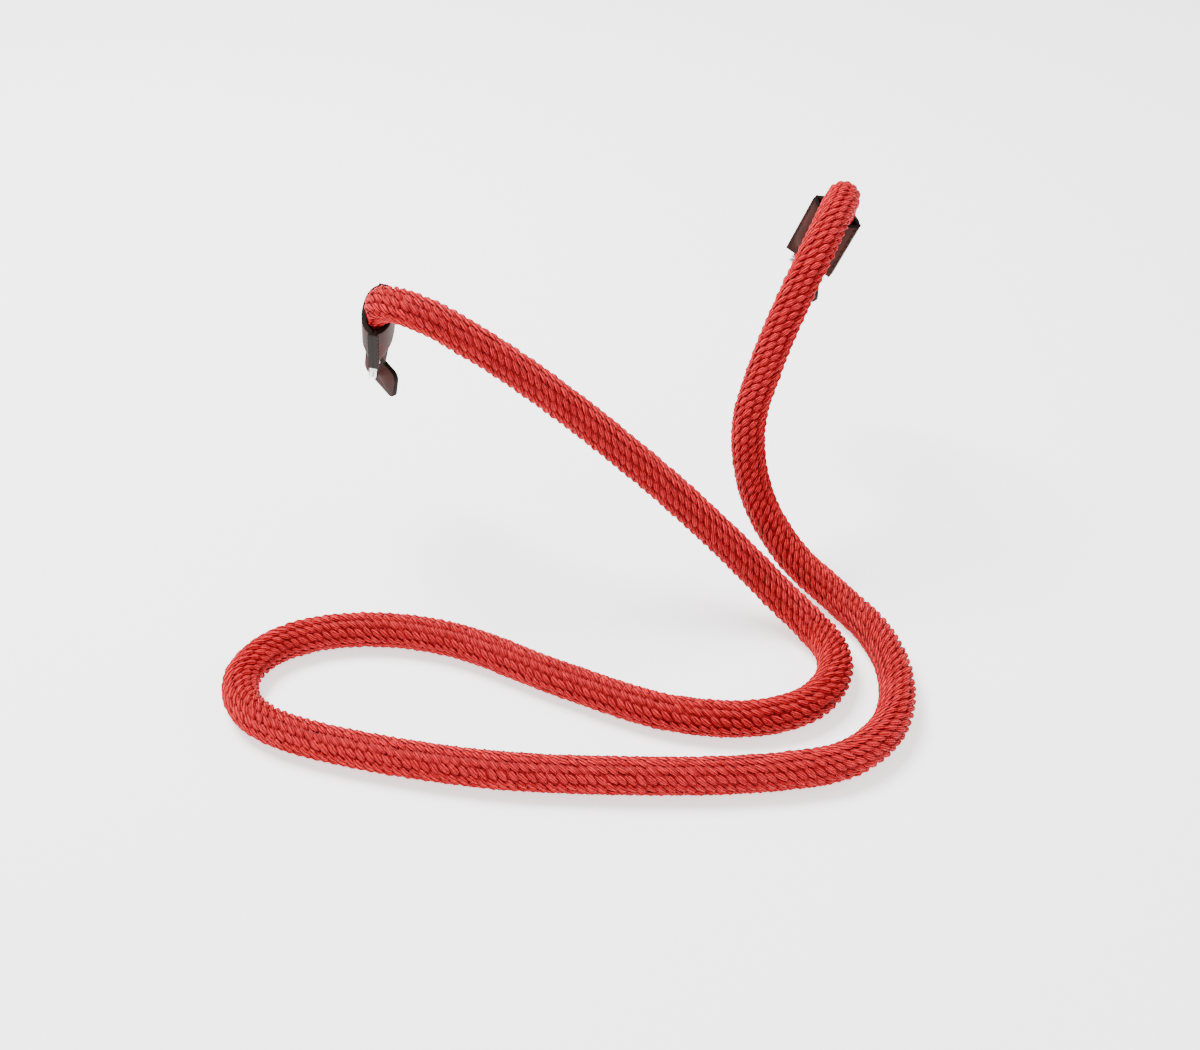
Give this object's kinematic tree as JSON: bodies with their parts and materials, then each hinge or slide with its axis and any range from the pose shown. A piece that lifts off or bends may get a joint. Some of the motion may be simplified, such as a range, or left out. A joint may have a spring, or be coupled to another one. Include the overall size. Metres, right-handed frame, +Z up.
{
  "type": "camera neck strap",
  "caption": "Round braided rope neck strap for a camera, with folded leather clamps, split rings and leather protectors at its ends.",
  "frame": {"origin": "eye of the left carrying lug, through which the left split ring hangs", "axes": "+X from the left end towards the right end, +Y away from the viewer, +Z up"},
  "size_m": [0.2224, 0.1782, 0.1102],
  "materials": {
    "rope": "braided, slight sheen",
    "leather": "smooth, satin, dark painted edges",
    "ring_metal": "bright"
  },
  "bodies": {
    "root": {"rope": "rope", "left_clamp": "leather", "left_ring": "ring_metal", "left_protector": "leather", "right_clamp": "leather", "right_ring": "ring_metal", "right_protector": "leather"}
  },
  "joints": []
}
